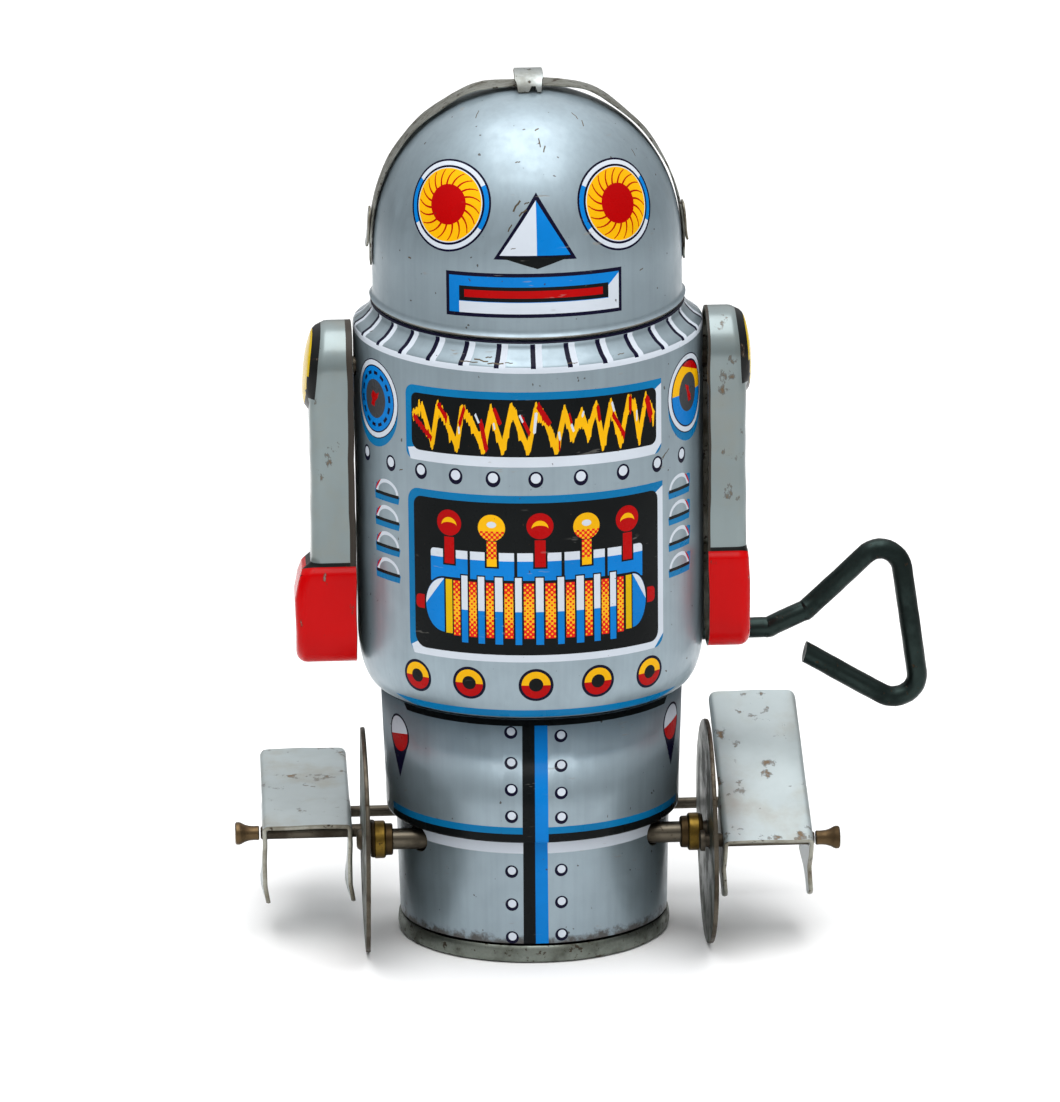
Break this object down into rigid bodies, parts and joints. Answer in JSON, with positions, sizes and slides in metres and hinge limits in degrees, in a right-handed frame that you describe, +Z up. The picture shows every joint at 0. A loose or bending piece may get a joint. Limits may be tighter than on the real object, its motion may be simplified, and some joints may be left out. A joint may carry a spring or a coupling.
{
  "type": "walking clockwork robot toy",
  "caption": "Small wind-up tin robot with a domed head, swinging arms, side winding key, disc wheels on a drive axle and two plate feet on crank pins.",
  "frame": {"origin": "centre of the base plate's flat underside, on the surface that it stands on", "axes": "+Z up, -Y out of the robot's face, +X towards the winding key (the viewer's right)"},
  "size_m": [0.0798, 0.0401, 0.0998],
  "materials": {
    "printed_tin": "silver lacquer with printed artwork, glossy",
    "bare_tin": "dull bare tin",
    "grey_paint": "pale grey paint, red hands",
    "steel": "dull steel",
    "key_steel": "dark blackened wire",
    "brass": "tarnished brass",
    "spring_steel": "blued spring steel"
  },
  "bodies": {
    "body": {"base_plate": "bare_tin", "ear_tab_left": "bare_tin", "ear_tab_right": "bare_tin", "head_band": "bare_tin", "head_band_clip": "bare_tin", "head_front_shell": "printed_tin", "head_rear_shell": "printed_tin", "lower_body_front_shell": "printed_tin", "lower_body_rear_shell": "printed_tin", "mainspring": "spring_steel", "motor_pillar_1": "steel", "motor_pillar_2": "steel", "motor_pillar_3": "steel", "motor_pillar_4": "steel", "motor_plate_left": "steel", "motor_plate_right": "steel", "rear_rest_rod": "steel", "torso_front_shell": "printed_tin", "torso_rear_shell": "printed_tin"},
    "arm_left": {"arm_left": "grey_paint", "shoulder_pin_left": "steel"},
    "arm_right": {"arm_right": "grey_paint", "shoulder_pin_right": "steel"},
    "winder": {"winding_key": "key_steel", "winding_arbor": "steel", "ratchet_wheel": "steel"},
    "great_wheel": {"great_wheel": "brass", "click_pin": "steel"},
    "click": {"click": "steel"},
    "intermediate": {"intermediate_shaft": "steel", "intermediate_pinion": "brass", "intermediate_wheel": "brass"},
    "escapement": {"escape_shaft": "steel", "escape_pinion": "brass", "escape_wheel": "brass"},
    "pallet": {"pallet": "steel", "pallet_arbor": "steel"},
    "drive": {"drive_axle": "steel", "drive_pinion": "brass", "wheel_collar_left": "brass", "wheel_collar_right": "brass", "wheel_disc_left": "steel", "wheel_disc_right": "steel"},
    "crank_pin_left": {"crank_pin_left": "steel", "pin_cap_left": "brass"},
    "crank_pin_right": {"crank_pin_right": "steel", "pin_cap_right": "brass"},
    "foot_left": {"foot_left": "grey_paint"},
    "foot_right": {"foot_right": "grey_paint"}
  },
  "joints": [
    {"name": "arm_left_swing", "type": "hinge", "parent": "body", "child": "arm_left", "pos_m": [-0.022, -0.002, 0.0665], "axis": [-1, 0, 0], "range_deg": [-80, 170]},
    {"name": "arm_right_swing", "type": "hinge", "parent": "body", "child": "arm_right", "pos_m": [0.022, -0.002, 0.0665], "axis": [-1, 0, 0], "range_deg": [-1.5, 170]},
    {"name": "winding_key_turn", "type": "hinge", "parent": "body", "child": "winder", "pos_m": [0, 0.004, 0.0334], "axis": [1, 0, 0], "continuous": true},
    {"name": "drive_axle_spin", "type": "hinge", "parent": "body", "child": "drive", "pos_m": [0, -0.0078, 0.01275], "axis": [1, 0, 0], "continuous": true},
    {"name": "great_wheel_spin", "type": "hinge", "parent": "body", "child": "great_wheel", "pos_m": [0, 0.004, 0.0334], "axis": [1, 0, 0], "continuous": true},
    {"name": "click_rock", "type": "hinge", "parent": "great_wheel", "child": "click", "pos_m": [0, -0.0023, 0.0346], "axis": [1, 0, 0], "range_deg": [0, 12]},
    {"name": "intermediate_spin", "type": "hinge", "parent": "body", "child": "intermediate", "pos_m": [0, 0.0004, 0.02008], "axis": [1, 0, 0], "continuous": true},
    {"name": "escapement_spin", "type": "hinge", "parent": "body", "child": "escapement", "pos_m": [0, 0.0105, 0.02278], "axis": [1, 0, 0], "continuous": true},
    {"name": "pallet_rock", "type": "hinge", "parent": "body", "child": "pallet", "pos_m": [0, 0.0115, 0.01778], "axis": [1, 0, 0], "range_deg": [-3, 3]},
    {"name": "crank_pin_left_turn", "type": "hinge", "parent": "drive", "child": "crank_pin_left", "pos_m": [-0.026, -0.0041, 0.01275], "axis": [1, 0, 0], "continuous": true},
    {"name": "crank_pin_right_turn", "type": "hinge", "parent": "drive", "child": "crank_pin_right", "pos_m": [0.026, -0.0115, 0.01275], "axis": [1, 0, 0], "continuous": true},
    {"name": "foot_left_tilt", "type": "hinge", "parent": "crank_pin_left", "child": "foot_left", "pos_m": [-0.026, -0.0041, 0.01275], "axis": [1, 0, 0], "range_deg": [-10, 22]},
    {"name": "foot_right_tilt", "type": "hinge", "parent": "crank_pin_right", "child": "foot_right", "pos_m": [0.026, -0.0115, 0.01275], "axis": [1, 0, 0], "range_deg": [-30, 6]}
  ],
  "couplings": [
    {"joint": "intermediate_spin", "follows": "drive_axle_spin", "ratio": -0.42857},
    {"joint": "great_wheel_spin", "follows": "drive_axle_spin", "ratio": 0.11905},
    {"joint": "escapement_spin", "follows": "drive_axle_spin", "ratio": 1.2},
    {"joint": "crank_pin_left_turn", "follows": "drive_axle_spin", "ratio": -1},
    {"joint": "crank_pin_right_turn", "follows": "drive_axle_spin", "ratio": -1}
  ]
}
